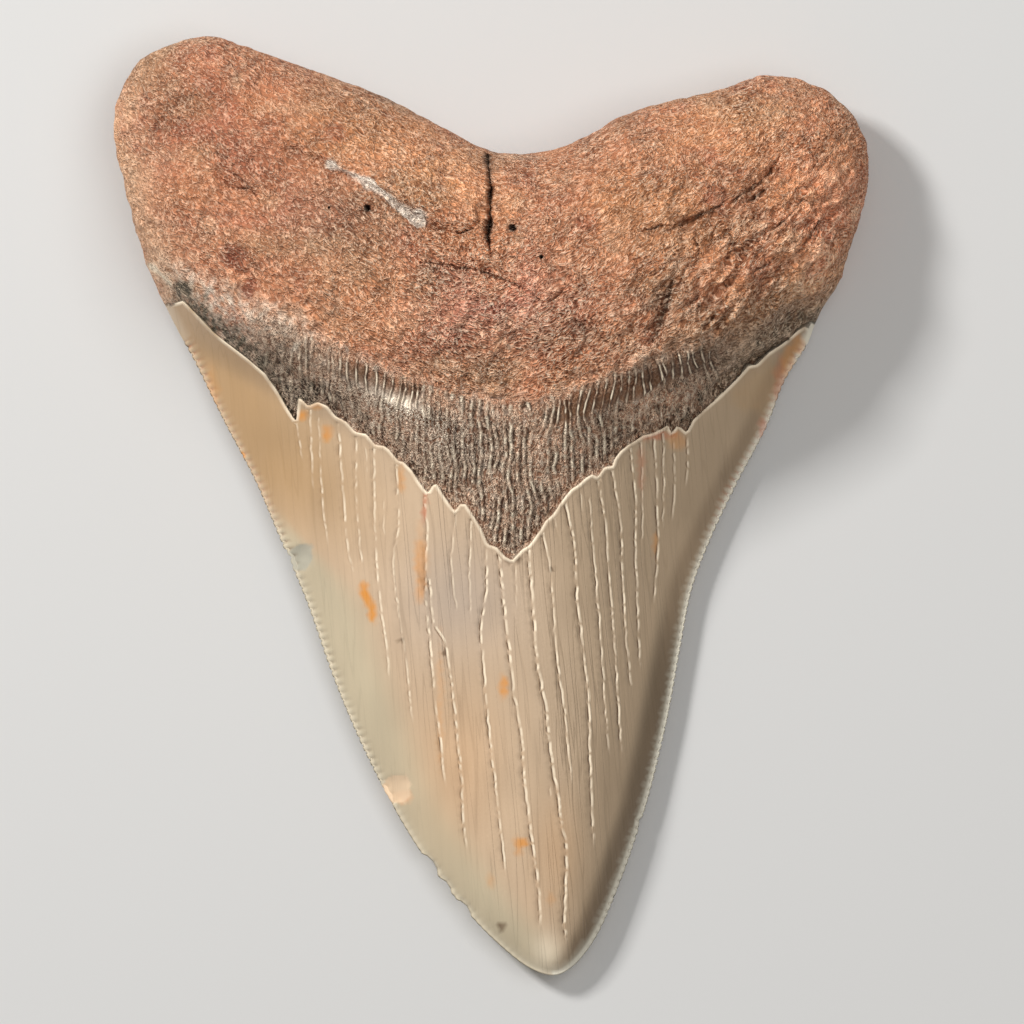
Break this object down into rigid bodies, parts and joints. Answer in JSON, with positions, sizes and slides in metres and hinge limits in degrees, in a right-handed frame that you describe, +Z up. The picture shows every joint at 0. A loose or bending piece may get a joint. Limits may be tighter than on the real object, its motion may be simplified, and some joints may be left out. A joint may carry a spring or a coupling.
{
  "type": "fossil megalodon tooth",
  "caption": "Fossil megalodon tooth, a broad serrated crown on a two-lobed root, lying on its flatter face as a desk or display piece",
  "frame": {"origin": "middle of the tooth's box in plan, on the surface that it lies on", "axes": "+Y from the tip of the crown towards the root, +Z up through the lingual face, +X to the right seen from above"},
  "size_m": [0.0768, 0.0956, 0.0201],
  "materials": {
    "tooth": "fossil: satin tan enamel on the crown, rough reddish-brown root"
  },
  "bodies": {
    "root": {"tooth": "tooth"}
  },
  "joints": []
}
